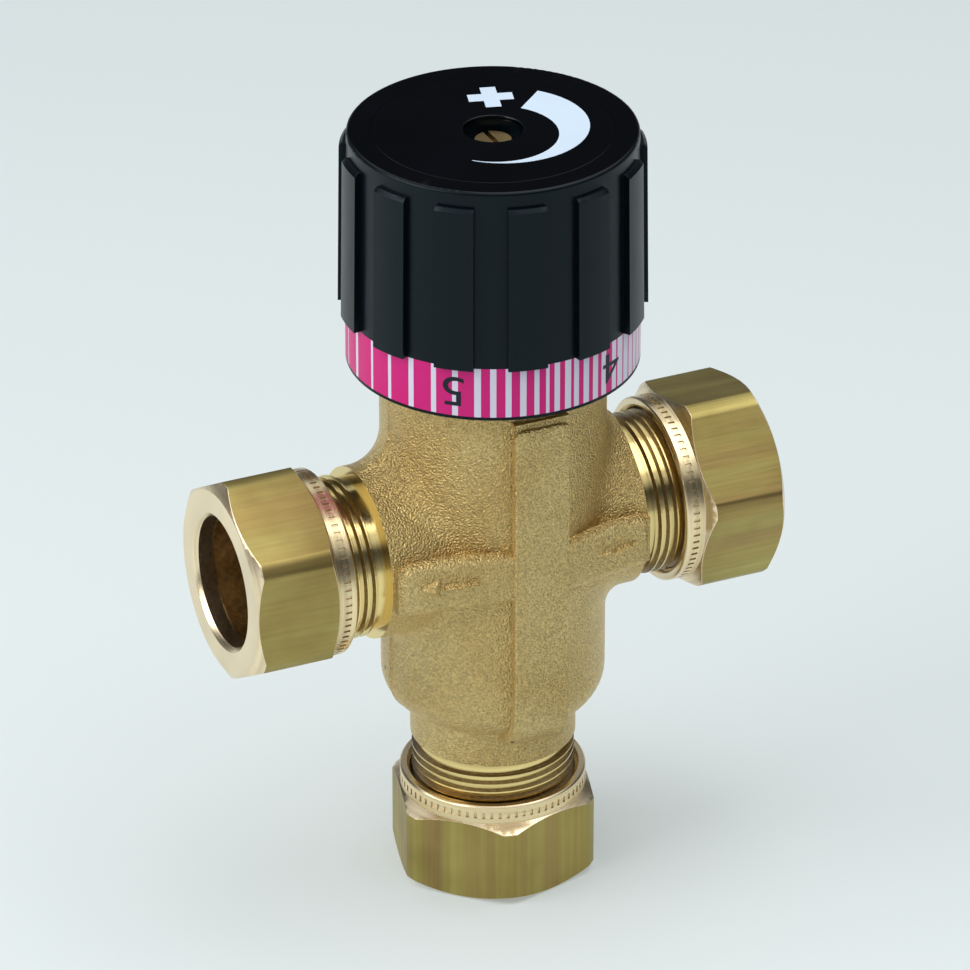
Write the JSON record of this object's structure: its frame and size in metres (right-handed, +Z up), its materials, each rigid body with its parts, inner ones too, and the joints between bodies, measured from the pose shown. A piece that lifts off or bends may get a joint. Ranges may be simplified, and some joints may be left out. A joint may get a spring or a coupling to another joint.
{
  "type": "mixing valve",
  "caption": "Brass tempering valve with a T-shaped body, compression nuts on its ports and a ribbed temperature knob with a scale band, over a working wax-element cartridge.",
  "frame": {"origin": "centre of the bottom nut's end face, on which the valve stands", "axes": "+Z up the valve through the knob's axis, +X out of the hot inlet, -Y towards the front pad"},
  "size_m": [0.0966, 0.0513, 0.138],
  "materials": {
    "cast_brass": "grit-blasted casting",
    "machined_brass": "machined, bright",
    "nut_brass": "drawn bar, satin",
    "olive_brass": "machined",
    "screw_brass": "satin",
    "seal_rubber": "matt black",
    "spring_steel": "satin",
    "stainless_steel": "satin",
    "inner_plastic": "natural white",
    "knob_plastic": "satin black",
    "face_plastic": "gloss black",
    "band_plastic": "satin, printed"
  },
  "bodies": {
    "casting": {"body": "cast_brass", "bonnet": "machined_brass", "bonnet_seal": "seal_rubber", "hot_seat": "machined_brass", "cold_seat": "machined_brass", "return_spring": "spring_steel", "spring_retainer": "stainless_steel", "retainer_clip": "spring_steel"},
    "knob_set": {"knob": "knob_plastic", "scale_band": "band_plastic", "face_disc": "face_plastic", "knob_screw": "screw_brass", "screw_washer": "stainless_steel", "spindle": "machined_brass", "spindle_seal_lower": "seal_rubber", "spindle_seal_upper": "seal_rubber", "spindle_clip": "spring_steel"},
    "adjuster": {"adjusting_nut": "machined_brass", "snap_ring": "spring_steel", "overload_spring": "spring_steel"},
    "cap": {"spring_cap": "machined_brass", "element_piston": "stainless_steel"},
    "element": {"wax_element": "machined_brass", "hot_disc": "inner_plastic", "cold_disc": "inner_plastic"},
    "left_ring": {"left_olive": "olive_brass"},
    "left_nut_body": {"left_nut": "nut_brass"},
    "right_ring": {"right_olive": "olive_brass"},
    "right_nut_body": {"right_nut": "nut_brass"},
    "bottom_ring": {"bottom_olive": "olive_brass"},
    "bottom_nut_body": {"bottom_nut": "nut_brass"}
  },
  "joints": [
    {"name": "knob_turn", "type": "hinge", "parent": "casting", "child": "knob_set", "pos_m": [0, 0, 0.0644], "axis": [0, 0, 1], "range_deg": [-230, 40]},
    {"name": "adjuster_climb", "type": "slide", "parent": "casting", "child": "adjuster", "axis": [0, 0, 1], "range_m": [-0.00129, 0.00023]},
    {"name": "overload_travel", "type": "slide", "parent": "adjuster", "child": "cap", "axis": [0, 0, 1], "range_m": [0, 0.001], "stiffness_N_per_m": 500, "springref_m": -0.004, "deforming": ["overload_spring"]},
    {"name": "element_travel", "type": "slide", "parent": "cap", "child": "element", "axis": [0, 0, -1], "range_m": [0, 0.0015], "stiffness_N_per_m": 300, "springref_m": -0.005, "deforming": ["return_spring"]},
    {"name": "left_nut_travel", "type": "slide", "parent": "casting", "child": "left_ring", "axis": [-1, 0, 0], "range_m": [0, 0.009]},
    {"name": "left_nut_turn", "type": "hinge", "parent": "left_ring", "child": "left_nut_body", "pos_m": [-0.0401, 0, 0.0644], "axis": [-1, 0, 0], "range_deg": [0, 2160]},
    {"name": "right_nut_travel", "type": "slide", "parent": "casting", "child": "right_ring", "axis": [1, 0, 0], "range_m": [0, 0.009]},
    {"name": "right_nut_turn", "type": "hinge", "parent": "right_ring", "child": "right_nut_body", "pos_m": [0.0373, 0, 0.0644], "axis": [1, 0, 0], "range_deg": [0, 2160]},
    {"name": "bottom_nut_travel", "type": "slide", "parent": "casting", "child": "bottom_ring", "axis": [0, 0, -1], "range_m": [0, 0.009]},
    {"name": "bottom_nut_turn", "type": "hinge", "parent": "bottom_ring", "child": "bottom_nut_body", "pos_m": [0, 0, 0.0091], "axis": [0, 0, -1], "range_deg": [0, 2160]}
  ],
  "couplings": [
    {"joint": "adjuster_climb", "follows": "knob_turn", "m_per_rad": 0.00031831},
    {"joint": "left_nut_travel", "follows": "left_nut_turn", "m_per_rad": 0.00023873},
    {"joint": "right_nut_travel", "follows": "right_nut_turn", "m_per_rad": 0.00023873},
    {"joint": "bottom_nut_travel", "follows": "bottom_nut_turn", "m_per_rad": 0.00023873}
  ]
}
